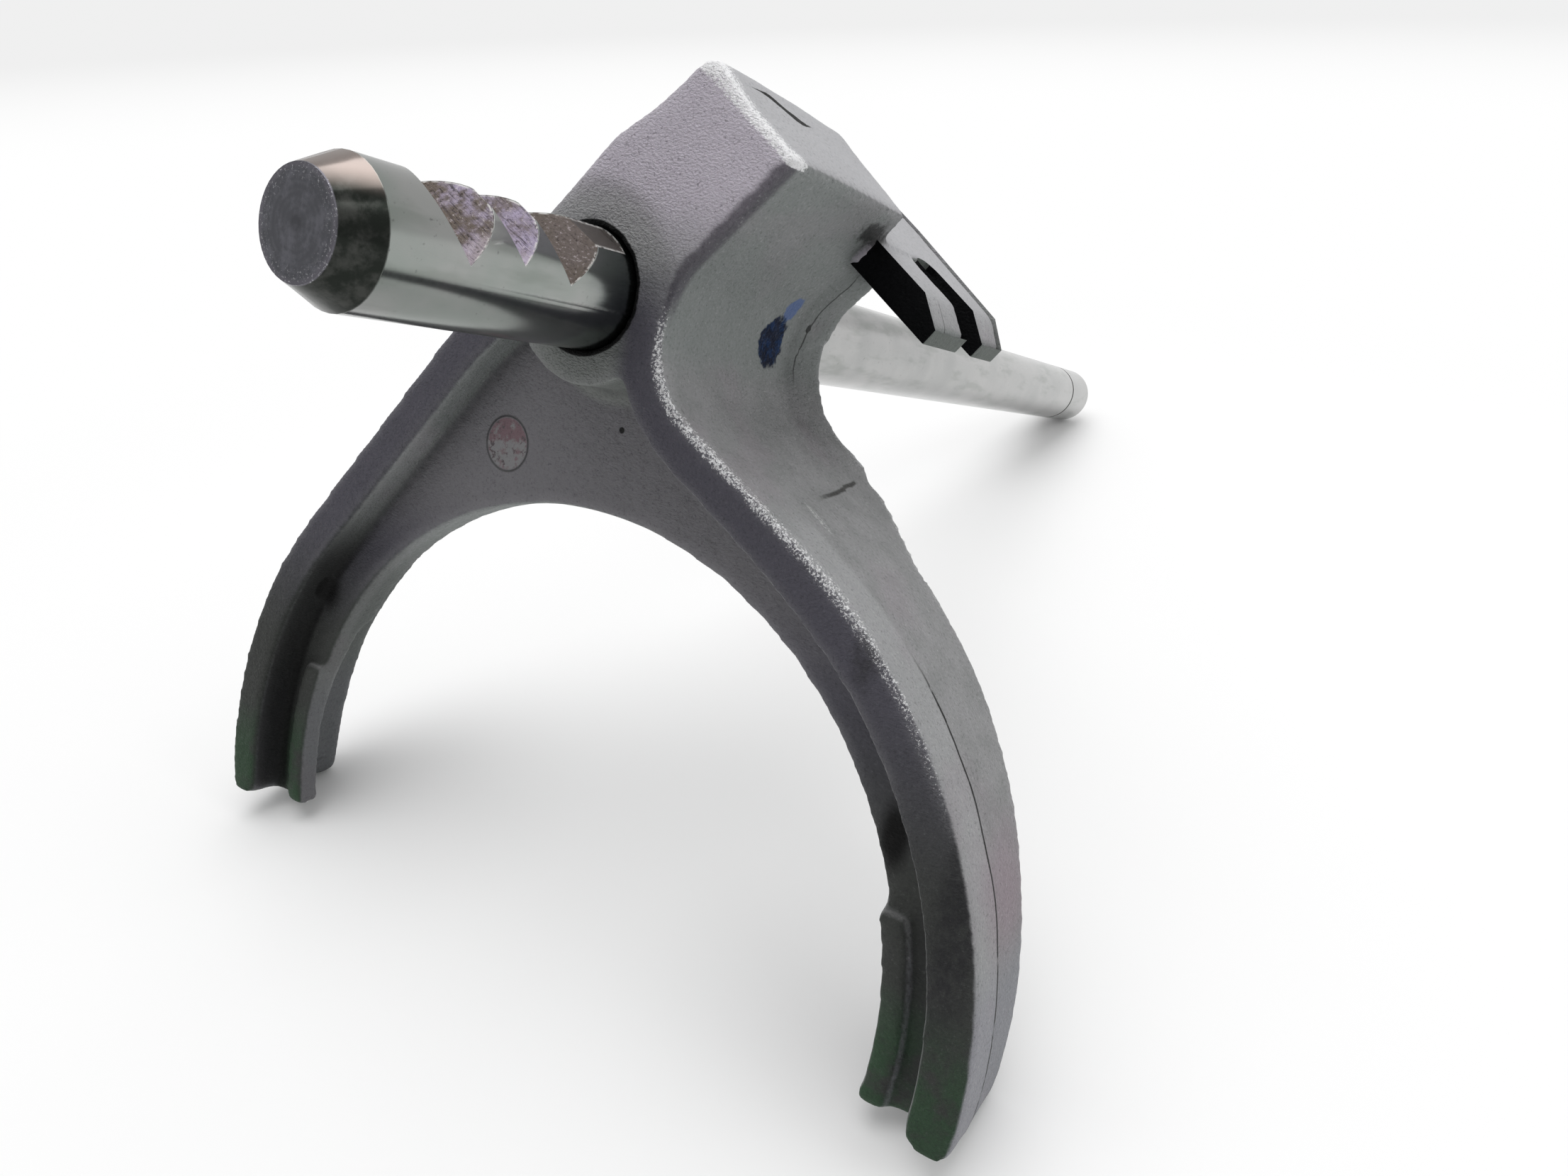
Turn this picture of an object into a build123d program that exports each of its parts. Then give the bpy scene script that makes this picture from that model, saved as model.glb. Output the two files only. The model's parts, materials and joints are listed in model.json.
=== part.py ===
from build123d import *
import os
from math import acos, asin, atan2, cos, degrees, hypot, radians, sin

os.makedirs("parts", exist_ok=True)

# Shift fork rod, in millimetres: a cast selector fork, pinned on a ground steel rod.
# Working axes: Y runs along the rod from its notched end, Z up in the fork's plane of
# symmetry and X across the tines. Angles are in degrees, in the XZ plane from +X.
# At the end all pieces are tilted together, to lie as they rest on a bench.

# Selector rod
rod_diameter = 25.0
rod_length = 445.0
lead_diameter = 18.1
lead_length = 6.9
tail_edge_radius = 3.0
stop_groove_place = 413.0
stop_groove_width = 1.6
stop_groove_depth = 0.35

# Detent notches, milled straight across the rod from one side, and the flat behind them
notch_angle = 60.0
notch_places = (23.5, 36.0, 48.2)
notch_depths = (7.4, 5.75, 7.06)
flat_depth = 1.05
flat_start = 57.2
flat_end = 65.6

# Fork tines, struck about the centre of the sliding sleeve that they straddle. That centre
# lies the outer radius and a clearance below the rod, and the tips reach past it.
tine_outer_radius = 111.5
tine_width = 21.1
hub_clearance = 26.5
tip_overhang = 13.5
flange_width = 10.4
flange_front = 71.0
web_front = 79.7
web_thickness = 10.6
tip_inner_corner = 4.0
tip_outer_corner = 3.0

# Machined pads on the inner faces of the tines
pad_proud = 1.0
pad_width = 6.0
pad_front = 77.0
pad_thickness = 6.4
pad_height = 41.8

# Behind the pads the web thins to their back face: heights above the tips
thin_top = 54.5
thin_knee = 53.5
thin_foot = 26.5
thin_knee_depth = 2.3

# Hub round the rod
bore_clearance = 0.02
bore_mouth_chamfer = 1.0
hub_front = 66.5
hub_length = 64.5
boss_radius = 19.8
ramp_top = -20.0
ramp_foot = -45.0
ramp_blend = 40.0
flank_step = 8.0

# Front outline of the hub and the shoulders, from the roof down either side
roof_angle = 54.4
roof_height = 48.9
roof_width = 27.5
ridge_offset = 6.94
flank_top = (2.0, 30.3)
flank_knee = (-13.0, 14.5)
shoulder_knee = (-41.5, -12.6)
neck_corner = (9.0, -10.0)
neck_radius = 21.2
flank_blend = 12.0

# Back of the casting, seen from the side
hub_underside = -36.0
back_knee_inset = 17.5
back_knee_level = -50.0
back_bend_bulge = 4.5
back_bend_height = 48.5
back_blend = 16.0
tip_back = 98.5
tip_back_corner = 3.5

# Slanting end of the roof, measured forward from the back of the hub
ridge_end_inset = 2.4
eave_end_inset = 13.0

# Driver plate, with a slot that the shift finger works in
driver_drop = 7.5
driver_thickness = 8.0
driver_inset = 17.2
driver_width = 46.3
driver_root_width = 55.9
driver_root = 8.5
driver_reach = 52.0
nose_length = 7.8
nose_drop = 3.9
prong_width = 20.5
slot_width = 10.5
slot_depth = 25.0
slot_corner = 4.5

# Collar where the neck flares to the back of the hub
collar_length = 11.0
collar_step = 1.0
collar_flare = 2.7
collar_top = 14.0
collar_corner = 4.0

# Open seam left by the casting in the roof
seam_offset = 2.9
seam_inset = 23.0
seam_length = 14.5
seam_width = 0.6
seam_depth = 2.0

# Slotted spring pin through hub and rod
pin_inset = 31.0
pin_angle = 137.5
pin_diameter = 8.0
pin_wall = 1.6
pin_slot = 1.2
pin_length = 34.0
pin_reach = 17.6
pin_clearance = 0.02
pin_end_gap = 0.5

ridge_radius = 3.0

rod_radius = rod_diameter / 2
sleeve_drop = tine_outer_radius + hub_clearance
tip_drop = sleeve_drop + tip_overhang
sleeve_centre = (0, -sleeve_drop)
web_inner_radius = tine_outer_radius - tine_width
pad_radius = web_inner_radius - pad_proud
web_back = web_front + web_thickness
pad_back = pad_front + pad_thickness
hub_back = hub_front + hub_length
back_knee = (hub_back - back_knee_inset, back_knee_level)
back_bend = (tip_back + back_bend_bulge, back_bend_height - tip_drop)
driver_front = hub_back - driver_inset
pin_place = hub_front + pin_inset
past_casting = 2 * tine_outer_radius


def front_view(y):
    """Plane across the rod at y, with X to its right and Z up, seen from the notched end."""
    return Plane(origin=(0, y, 0), x_dir=(1, 0, 0), z_dir=(0, -1, 0))


def across_rod(place, direction):
    """Plane square to a direction across the rod, with its local x along the rod."""
    turn = radians(direction)
    return Plane(origin=(0, place, 0), x_dir=(0, 1, 0), z_dir=(cos(turn), 0, sin(turn)))


def along_rod(direction):
    """Plane through the rod's axis and a direction across it, which is its local y."""
    turn = radians(direction)
    return Plane(origin=(0, 0, 0), x_dir=(0, 1, 0), z_dir=(sin(turn), 0, -cos(turn)))


def bearing(point):
    """Direction of a point from the sleeve's centre."""
    return degrees(atan2(point[1] + sleeve_drop, point[0]))


def touch_angle(point):
    """Angle at the sleeve's centre from a point above to where its line touches the tine."""
    return degrees(acos(tine_outer_radius / hypot(point[0], point[1] + sleeve_drop)))


# Roof slope and normal in the front view, and the two edges that bound the roof
roof_normal = (cos(radians(roof_angle)), sin(radians(roof_angle)))
roof_slope = (roof_normal[1], -roof_normal[0])
ridge = tuple(roof_height * n - ridge_offset * s for n, s in zip(roof_normal, roof_slope))
eave = tuple(r + roof_width * s for r, s in zip(ridge, roof_slope))


def roof_plane(drop):
    """Plane parallel to the roof, with its local x down the slope and its local y along the rod."""
    origin = (ridge[0] - drop * roof_normal[0], 0, ridge[1] - drop * roof_normal[1])
    return Plane(
        origin=origin,
        x_dir=(roof_slope[0], 0, roof_slope[1]),
        z_dir=(roof_normal[0], 0, roof_normal[1]),
    )


# Outline of the casting from the front, closed straight across the tips
tip_angle = degrees(asin((tip_drop - sleeve_drop) / tine_outer_radius))
right_touch = bearing(neck_corner) - touch_angle(neck_corner)
left_touch = bearing(shoulder_knee) + touch_angle(shoulder_knee)
with BuildSketch() as outline:
    with BuildLine():
        right_tine = CenterArc(
            sleeve_centre, tine_outer_radius, -tip_angle, right_touch + tip_angle
        )
        left_tine = CenterArc(
            sleeve_centre, tine_outer_radius, left_touch, 180 + tip_angle - left_touch
        )
        Polyline(
            right_tine @ 1, neck_corner, eave, ridge,
            flank_top, flank_knee, shoulder_knee, left_tine @ 0,
        )
        Line(left_tine @ 1, right_tine @ 0)
    make_face()
    fillet(outline.vertices().sort_by_distance(neck_corner)[0], neck_radius)
    fillet(outline.vertices().sort_by_distance(ridge)[0], ridge_radius)
    for knee in (flank_top, flank_knee, shoulder_knee):
        fillet(outline.vertices().sort_by_distance(knee)[0], flank_blend)

# Hollow that the flange, the shoulders and the boss enclose
with BuildSketch() as pocket:
    add(outline.sketch)
    offset(amount=-flange_width)
    with Locations(sleeve_centre):
        Circle(tine_outer_radius - flange_width)
    Rectangle(
        past_casting, past_casting, align=(Align.CENTER, Align.MAX), mode=Mode.INTERSECT
    )
    Circle(boss_radius, mode=Mode.SUBTRACT)

# Neck and shoulder of the side that the collar runs round
with BuildSketch() as neck:
    add(outline.sketch)
    with Locations((0, hub_underside)):
        Rectangle(
            past_casting, collar_top - hub_underside,
            align=(Align.MIN, Align.MIN), mode=Mode.INTERSECT,
        )
    fillet(neck.vertices().sort_by(Axis.Y)[:2].sort_by(Axis.X)[-1], collar_corner)

# Driver plate, made apart from the casting that carries it
with BuildPart() as driver_plate:
    with BuildSketch(roof_plane(driver_drop)):
        with BuildLine():
            Polyline(
                (0, driver_front), (driver_reach, driver_front),
                (driver_reach, driver_front + driver_width),
                (driver_root, driver_front + driver_root_width),
                (0, driver_front + driver_root_width), close=True,
            )
        make_face()
    extrude(amount=-driver_thickness)
    nose = driver_plate.edges().filter_by(Axis.Y).sort_by_distance(
        roof_plane(driver_drop).from_local_coords((driver_reach, driver_front, 0))
    )[0]
    chamfer(nose, nose_drop, nose_length)
    with BuildSketch(roof_plane(driver_drop)) as slot:
        with Locations((driver_reach - slot_depth, driver_front + prong_width)):
            Rectangle(driver_reach, slot_width, align=Align.MIN)
        fillet(slot.vertices().sort_by_distance(
            roof_plane(driver_drop).from_local_coords((0, driver_front + prong_width, 0))
        )[:2], slot_corner)
    extrude(amount=-driver_thickness, mode=Mode.SUBTRACT)

# Web plate that fills the hollow, thinner behind the pads
with BuildPart() as web:
    with BuildSketch(front_view(web_front)):
        add(outline.sketch)
        with Locations(sleeve_centre):
            Circle(web_inner_radius, mode=Mode.SUBTRACT)
    extrude(amount=-web_thickness)
    with BuildSketch(Plane.YZ):
        with BuildLine():
            Polyline(
                (web_back, thin_top - tip_drop), (web_back - thin_knee_depth, thin_knee - tip_drop),
                (pad_back, thin_foot - tip_drop), (pad_back, -tip_drop), (web_back, -tip_drop),
                close=True,
            )
        make_face()
    extrude(amount=past_casting, both=True, mode=Mode.SUBTRACT)

with BuildPart() as shift_fork:
    # Flange, shoulders and hub, from the front view
    with BuildSketch(front_view(hub_front)) as rim:
        add(outline.sketch)
        add(pocket.sketch, mode=Mode.SUBTRACT)
        tips = rim.vertices().group_by(Axis.Y)[0].sort_by(Axis.X)
        fillet(tips[1:3], tip_inner_corner)
        tips = rim.vertices().group_by(Axis.Y)[0].sort_by(Axis.X)
        fillet([tips[0], tips[-1]], tip_outer_corner)
    extrude(amount=-hub_length)

    # The shoulder on the flank side stands back from the boss
    with BuildSketch(front_view(hub_front)):
        with Locations((0, flank_step)):
            Rectangle(past_casting, past_casting, align=Align.MAX)
        Circle(boss_radius, mode=Mode.SUBTRACT)
    extrude(amount=hub_front - flange_front, mode=Mode.SUBTRACT)

    # Collar
    for y, shift in ((hub_back - collar_length, collar_step), (hub_back, collar_step + collar_flare)):
        with BuildSketch(front_view(y)):
            with Locations((shift, 0)):
                add(neck.sketch)
    loft()

    # Side view
    with BuildSketch(Plane.YZ) as side:
        with BuildLine():
            Polyline(
                (hub_front, roof_height), (hub_front, ramp_top), (flange_front, ramp_foot),
                (flange_front, -tip_drop), (tip_back, -tip_drop), back_bend, back_knee,
                (hub_back, hub_underside), (hub_back, roof_height), close=True,
            )
        make_face()
        fillet(side.vertices().sort_by_distance((hub_front, ramp_top))[0], ramp_blend)
        fillet(side.vertices().sort_by_distance((flange_front, ramp_foot))[0], ramp_blend)
        fillet(side.vertices().sort_by_distance(back_knee)[0], back_blend)
        fillet(side.vertices().sort_by_distance((tip_back, -tip_drop))[0], tip_back_corner)
    extrude(amount=past_casting, both=True, mode=Mode.INTERSECT)

    # Slanting end of the roof, down to the top of the driver plate
    with BuildSketch(roof_plane(0)):
        with BuildLine():
            Polyline(
                (-ridge_radius, hub_back), (0, hub_back - ridge_end_inset),
                (roof_width, hub_back - eave_end_inset),
                (roof_width + driver_reach, hub_back - eave_end_inset),
                (roof_width + driver_reach, hub_back), close=True,
            )
        make_face()
    extrude(amount=-driver_drop, both=True, mode=Mode.SUBTRACT)

    add(web.part)

    # Pads
    with BuildSketch(front_view(pad_front)):
        with Locations(sleeve_centre):
            Circle(pad_radius + pad_width)
            Circle(pad_radius, mode=Mode.SUBTRACT)
        with Locations((0, -tip_drop)):
            Rectangle(
                past_casting, pad_height, align=(Align.CENTER, Align.MIN), mode=Mode.INTERSECT
            )
    extrude(amount=-pad_thickness)

    add(driver_plate.part)

    # Open seam in the roof
    with BuildSketch(roof_plane(0)):
        with Locations((seam_offset, hub_front + seam_inset)):
            Rectangle(seam_width, seam_length, align=(Align.CENTER, Align.MIN))
    extrude(amount=-seam_depth, mode=Mode.SUBTRACT)

    # Bore for the rod, with its mouth chamfered
    with BuildSketch(front_view(hub_front)):
        Circle(rod_radius + bore_clearance)
    extrude(amount=-hub_length, mode=Mode.SUBTRACT)
    mouth = shift_fork.edges().filter_by(
        lambda e: e.geom_type == GeomType.CIRCLE and e.radius < boss_radius - bore_mouth_chamfer
    ).sort_by(Axis.Y)[0]
    chamfer(mouth, bore_mouth_chamfer)

    # Blind hole for the cross pin, drilled from the flank
    hole_end = pin_reach - pin_length - pin_end_gap
    with BuildSketch(across_rod(pin_place, pin_angle).offset(hole_end)):
        Circle(pin_diameter / 2 + pin_clearance)
    extrude(amount=past_casting, mode=Mode.SUBTRACT)

with BuildPart() as shift_rod:
    with BuildSketch(Plane.YZ) as rod_half:
        with BuildLine():
            Polyline(
                (0, 0), (0, lead_diameter / 2), (lead_length, rod_radius),
                (rod_length, rod_radius), (rod_length, 0), close=True,
            )
        make_face()
        fillet(rod_half.vertices().sort_by_distance((rod_length, rod_radius))[0], tail_edge_radius)
        with Locations((stop_groove_place, rod_radius)):
            Rectangle(stop_groove_width, 2 * stop_groove_depth, mode=Mode.SUBTRACT)
    revolve(axis=Axis.Y)

    # Notches and flat, drawn along the rod in the plane that holds the milling direction
    with BuildSketch(along_rod(notch_angle)):
        for place, depth in zip(notch_places, notch_depths):
            with BuildLine():
                Polyline(
                    (place, rod_radius - depth), (place - rod_radius, 2 * rod_radius - depth),
                    (place + rod_radius, 2 * rod_radius - depth), close=True,
                )
            make_face()
        with Locations((notch_places[-1] + rod_radius, 0)):
            Rectangle(rod_radius, rod_diameter, mode=Mode.SUBTRACT)
        with BuildLine():
            Polyline(
                (notch_places[-1], rod_radius - notch_depths[-1]), (flat_start, rod_radius - flat_depth),
                (flat_end, rod_radius - flat_depth), (flat_end, rod_diameter),
                (notch_places[-1], rod_diameter), close=True,
            )
        make_face()
    extrude(amount=rod_radius, both=True, mode=Mode.SUBTRACT)

    # Cross hole for the pin
    with BuildSketch(across_rod(pin_place, pin_angle)):
        Circle(pin_diameter / 2 + pin_clearance)
    extrude(amount=rod_diameter, both=True, mode=Mode.SUBTRACT)

with BuildPart() as spring_pin:
    with BuildSketch(across_rod(pin_place, pin_angle).offset(pin_reach)):
        Circle(pin_diameter / 2)
        Circle(pin_diameter / 2 - pin_wall, mode=Mode.SUBTRACT)
        Rectangle(pin_diameter, pin_slot, align=(Align.MIN, Align.CENTER), mode=Mode.SUBTRACT)
    extrude(amount=-pin_length)

# Rest on the bench: the round of the rod's far end and the backs of both tips touch it together
tip_round = Vector(0, tip_back - tip_back_corner, -tip_drop + tip_back_corner)
tail_round = Vector(0, rod_length - tail_edge_radius, -rod_radius + tail_edge_radius)
span = tail_round - tip_round
rise = degrees(atan2(span.Z, span.Y))
rest_tilt = rise - degrees(asin((tail_edge_radius - tip_back_corner) / span.length))
tilted = Location((0, 0, 0), (-rest_tilt, 0, 0))
box = Compound([(tilted * piece.part) for piece in (shift_fork, shift_rod, spring_pin)]).bounding_box()
centre = box.center()
rest = Location((-centre.X, -centre.Y, -box.min.Z)) * tilted

shift_fork.part.label = "shift_fork"
shift_rod.part.label = "shift_rod"
spring_pin.part.label = "spring_pin"
for piece in (shift_fork, shift_rod, spring_pin):
    piece.part.move(rest)
export_step(shift_fork.part, "parts/shift_fork.step")
export_step(shift_rod.part, "parts/shift_rod.step")
export_step(spring_pin.part, "parts/spring_pin.step")
print("tilt", rest_tilt, "moved", rest.position)
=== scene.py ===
import json
import math
from functools import reduce
from types import SimpleNamespace

import bmesh
import bpy
import numpy as np
from mathutils import Matrix, Vector, noise


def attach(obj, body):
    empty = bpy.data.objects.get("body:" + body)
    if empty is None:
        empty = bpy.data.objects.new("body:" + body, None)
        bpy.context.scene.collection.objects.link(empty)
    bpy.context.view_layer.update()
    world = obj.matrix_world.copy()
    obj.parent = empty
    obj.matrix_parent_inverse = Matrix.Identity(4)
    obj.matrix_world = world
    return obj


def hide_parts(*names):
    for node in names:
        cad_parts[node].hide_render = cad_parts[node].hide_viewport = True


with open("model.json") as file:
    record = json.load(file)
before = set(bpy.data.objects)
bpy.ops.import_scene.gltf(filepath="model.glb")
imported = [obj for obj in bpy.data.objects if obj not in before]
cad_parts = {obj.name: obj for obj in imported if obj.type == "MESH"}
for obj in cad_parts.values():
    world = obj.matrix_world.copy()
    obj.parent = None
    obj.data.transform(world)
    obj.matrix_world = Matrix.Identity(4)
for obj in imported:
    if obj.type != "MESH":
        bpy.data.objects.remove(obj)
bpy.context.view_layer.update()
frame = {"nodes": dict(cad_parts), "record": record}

# Local axes of the part, in millimetres, as in its source: X across the tines, Y along the
# rod from its notched end, Z up in the fork's plane of symmetry. They lie tilted in the row
# frame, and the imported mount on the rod's tail gives their place.
TAIL_PLACE = 428.0
TAIL = next(m for m in frame["record"]["mounts"] if m["name"] == "tail_journal")
along = Vector(TAIL["axis"]).normalized()
across = Vector((1.0, 0.0, 0.0))
above = across.cross(along).normalized()
zero = Vector(TAIL["pos_m"]) - along * TAIL_PLACE / 1000
REST = Matrix((across, along, above)).transposed().to_4x4()
REST.translation = zero
REST_TURN = REST.to_euler()


def row(x, y, z):
    """A local point in millimetres, as metres in the row frame."""
    return REST @ Vector((x / 1000, y / 1000, z / 1000))


# Sizes and places from the part's source. The roof's slope and normal lie in the local XZ plane.
ROOF_ANGLE = math.radians(54.4)
ROOF_NORMAL = np.array((math.cos(ROOF_ANGLE), 0.0, math.sin(ROOF_ANGLE)))
ROOF_SLOPE = np.array((ROOF_NORMAL[2], 0.0, -ROOF_NORMAL[0]))
ROOF_HEIGHT = 48.9
RIDGE_PLACE = 6.94
RIDGE = ROOF_HEIGHT * ROOF_NORMAL - RIDGE_PLACE * ROOF_SLOPE
ROOF_WIDTH = 27.5
HUB_FRONT = 66.5
HUB_BACK = 131.0
PLATE_DROP = 7.5
PLATE_THICKNESS = 8.0
PLATE_FRONT = 113.8
PLATE_BACK = 169.7
PLATE_BACK_TIP = 160.1
PLATE_BACK_BEND = 8.5
PLATE_REACH = 52.0
SLOT_END = 27.0
SLOT_LOW = 134.3
SLOT_HIGH = 144.8
SLOT_CORNER = 4.5
NOSE_LENGTH = 7.8
NOSE_DROP = 3.9

# Places that only the finish and the small forms ask for. The pads lie inside an arc round a
# line below the rod, under a level and in front of a plane.
ARC_CENTRE = -138.0
PAD_ARC = 97.0
PAD_TOP = -108.0
PAD_BACK = 79.4
PARTING_PLACE = 84.0
TORN_CORNER = np.array((47.5, 117.0, 24.5))
DISC_CENTRE = (-28.9, 79.7, -37.3)
CENTRE_MARK = (4.0, 79.7, -28.3)

# Camera, as found from the photograph's edges in the local axes
CAMERA_PLACE = (148.93, -106.77, -7.87)
CAMERA_RIGHT = Vector((0.8548, 0.4912, 0.1673))
CAMERA_AHEAD = Vector((-0.4567, 0.8653, -0.2067))
FOCAL_PIXELS = 1485.4
PHOTO_WIDTH = 2212
SENSOR_WIDTH = 36.0


def photo_camera():
    """The photograph's camera, which the scene looks through."""
    ahead = CAMERA_AHEAD.normalized()
    right = (CAMERA_RIGHT - ahead * CAMERA_RIGHT.dot(ahead)).normalized()
    turn = Matrix((right, right.cross(ahead), -ahead)).transposed().to_4x4()
    turn.translation = Vector(CAMERA_PLACE) / 1000
    lens = bpy.data.cameras.new("photo_camera")
    lens.sensor_width = SENSOR_WIDTH
    lens.sensor_fit = "HORIZONTAL"
    lens.lens = FOCAL_PIXELS / PHOTO_WIDTH * SENSOR_WIDTH
    lens.clip_start = 0.01
    lens.clip_end = 50.0
    camera = bpy.data.objects.new("photo_camera", lens)
    camera.matrix_world = REST @ turn
    bpy.context.scene.collection.objects.link(camera)
    bpy.context.scene.camera = camera


photo_camera()


class Nodes:
    """Builds one material's nodes. Points are in local millimetres."""

    def __init__(self, name):
        self.material = bpy.data.materials.new(name)
        self.material.use_nodes = True
        self.tree = self.material.node_tree
        self.tree.nodes.clear()
        self.out = self.tree.nodes.new("ShaderNodeOutputMaterial")
        self.shader = self.tree.nodes.new("ShaderNodeBsdfPrincipled")
        self.tree.links.new(self.shader.outputs[0], self.out.inputs[0])
        where = self.tree.nodes.new("ShaderNodeTexCoord").outputs["Object"]
        frame_map = self.tree.nodes.new("ShaderNodeMapping")
        frame_map.vector_type = "TEXTURE"
        frame_map.inputs["Location"].default_value = zero
        frame_map.inputs["Rotation"].default_value = REST_TURN
        frame_map.inputs["Scale"].default_value = (0.001, 0.001, 0.001)
        self.tree.links.new(where, frame_map.inputs["Vector"])
        self.point = frame_map.outputs[0]
        split = self.tree.nodes.new("ShaderNodeSeparateXYZ")
        self.tree.links.new(self.point, split.inputs[0])
        self.x, self.y, self.z = split.outputs

    def link(self, value, socket):
        """Puts a socket's output or a constant into an input socket."""
        if isinstance(value, bpy.types.NodeSocket):
            self.tree.links.new(value, socket)
        else:
            socket.default_value = value

    def math(self, kind, a, b=0.0):
        node = self.tree.nodes.new("ShaderNodeMath")
        node.operation = kind
        self.link(a, node.inputs[0])
        self.link(b, node.inputs[1])
        return node.outputs[0]

    def times(self, *values):
        return reduce(lambda a, b: self.math("MULTIPLY", a, b), values)

    def plus(self, *values):
        return reduce(lambda a, b: self.math("ADD", a, b), values)

    def minus(self, a, b):
        return self.math("SUBTRACT", a, b)

    def larger(self, *values):
        return reduce(lambda a, b: self.math("MAXIMUM", a, b), values)

    def smaller(self, *values):
        return reduce(lambda a, b: self.math("MINIMUM", a, b), values)

    def off(self, value, middle):
        """How far a value lies from the middle, to either side."""
        return self.math("ABSOLUTE", self.minus(value, middle))

    def radius(self, a, b):
        """Distance from the line where a and b are both 0."""
        squares = self.plus(self.math("POWER", a, 2.0), self.math("POWER", b, 2.0))
        return self.math("POWER", squares, 0.5)

    def step(self, value, low, high, top=1.0, base=0.0):
        """Smooth change from base to top as the value goes from low to high."""
        node = self.tree.nodes.new("ShaderNodeMapRange")
        node.interpolation_type = "SMOOTHSTEP"
        self.link(value, node.inputs["Value"])
        node.inputs["From Min"].default_value = low
        node.inputs["From Max"].default_value = high
        node.inputs["To Min"].default_value = base
        node.inputs["To Max"].default_value = top
        return node.outputs[0]

    def noise(self, scale, detail=3.0, rough=0.5, stretch=None):
        """Noise with so many cells a millimetre."""
        point = self.point
        if stretch:
            mapped = self.tree.nodes.new("ShaderNodeMapping")
            mapped.inputs["Scale"].default_value = stretch
            self.link(point, mapped.inputs["Vector"])
            point = mapped.outputs[0]
        node = self.tree.nodes.new("ShaderNodeTexNoise")
        self.link(point, node.inputs["Vector"])
        node.inputs["Scale"].default_value = scale
        node.inputs["Detail"].default_value = detail
        node.inputs["Roughness"].default_value = rough
        return node.outputs[0]

    def wander(self, amount, scale, detail=3.0, rough=0.5):
        """Noise about 0, times the amount."""
        return self.times(self.minus(self.noise(scale, detail, rough), 0.5), amount)

    def vector_math(self, kind, a, b=None):
        node = self.tree.nodes.new("ShaderNodeVectorMath")
        node.operation = kind
        self.link(a, node.inputs[0])
        if b is not None:
            node.inputs[1].default_value = b
        return node

    def distance(self, point, stretch=(1.0, 1.0, 1.0)):
        """Distance in millimetres from a local point, each axis divided by its stretch."""
        away = self.vector_math("SUBTRACT", self.point, point).outputs[0]
        scaled = self.vector_math("DIVIDE", away, stretch).outputs[0]
        return self.vector_math("LENGTH", scaled).outputs["Value"]

    def normal(self, direction):
        """How far the surface faces a local direction, from -1 to 1."""
        facing = self.tree.nodes.new("ShaderNodeNewGeometry").outputs["Normal"]
        target = REST.to_3x3() @ Vector(direction).normalized()
        return self.vector_math("DOT_PRODUCT", facing, target).outputs["Value"]

    def mix(self, share, a, b):
        """Colour a where share is 0, b where it is 1."""
        node = self.tree.nodes.new("ShaderNodeMix")
        node.data_type = "RGBA"
        self.link(share, node.inputs["Factor"])
        for value, name in ((a, "A"), (b, "B")):
            socket = next(s for s in node.inputs if s.name == name and s.type == "RGBA")
            self.link_colour(value, socket)
        return next(s for s in node.outputs if s.type == "RGBA")

    def link_colour(self, value, socket):
        self.link(value if isinstance(value, bpy.types.NodeSocket) else (*value, 1.0), socket)

    def attribute(self, name):
        node = self.tree.nodes.new("ShaderNodeAttribute")
        node.attribute_name = name
        return node.outputs["Fac"]

    def bump(self, height, depth, under=None):
        """Bump of so many millimetres from a height that runs from 0 to 1, over another bump."""
        node = self.tree.nodes.new("ShaderNodeBump")
        node.inputs["Strength"].default_value = 1.0
        node.inputs["Distance"].default_value = depth / 1000
        self.link(height, node.inputs["Height"])
        if under is not None:
            self.link(under, node.inputs["Normal"])
        return node.outputs[0]

    def finish(self, colour, roughness, metallic=1.0, normal=None):
        self.link_colour(colour, self.shader.inputs["Base Color"])
        self.link(roughness, self.shader.inputs["Roughness"])
        self.link(metallic, self.shader.inputs["Metallic"])
        if normal is not None:
            self.link(normal, self.shader.inputs["Normal"])
        return self.material


# Directions that the casting's finish asks for, in local axes
FORWARD = (0, -1, 0)
RIGHTWARD = (1, 0, 0)
FLANK_FACING = (0.72, 0, -0.69)

# Colours of the casting's skin, painted light and shade among them
IRON_DARK = (0.235, 0.24, 0.24)
IRON_LIGHT = (0.285, 0.285, 0.29)
IRON_GREENISH = (0.21, 0.235, 0.225)
OUTER_LIGHT = (0.36, 0.365, 0.37)
PINK_CAST = (0.28, 0.205, 0.245)
BLUE_CAST = (0.25, 0.245, 0.29)
LILAC_CAST = (0.29, 0.235, 0.275)
ROOF_LIGHT = (0.44, 0.44, 0.455)
# Painted light on the hub's front face, paler above, and painted shade round the bore
HUB_LIT_LOW = (0.38, 0.375, 0.395)
HUB_LIT_HIGH = (0.64, 0.59, 0.67)
BORE_SHADE = (0.33, 0.335, 0.33)
# Painted shade on the tines' front faces, darker towards the bottom
TINE_SHADE_HIGH = (0.078, 0.074, 0.096)
TINE_SHADE_LOW = (0.036, 0.039, 0.035)
TINE_SOOT = (0.008, 0.008, 0.010)
TINE_GREEN = (0.020, 0.060, 0.024)
WEB_TONE = (0.17, 0.166, 0.178)
LIP_HIGHLIGHT = (0.25, 0.265, 0.25)
CREASE_SHADE = (0.03, 0.031, 0.032)
EDGE_TONE = (0.30, 0.30, 0.31)
ROLLED_EDGE_SHADE = (0.075, 0.068, 0.085)
BRIGHT_IRON = (0.86, 0.86, 0.87)
PIT_TONE = (0.04, 0.04, 0.045)
GRAIN_TONE = (0.55, 0.55, 0.56)
SALT_TONE = (0.7, 0.7, 0.7)
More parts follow.
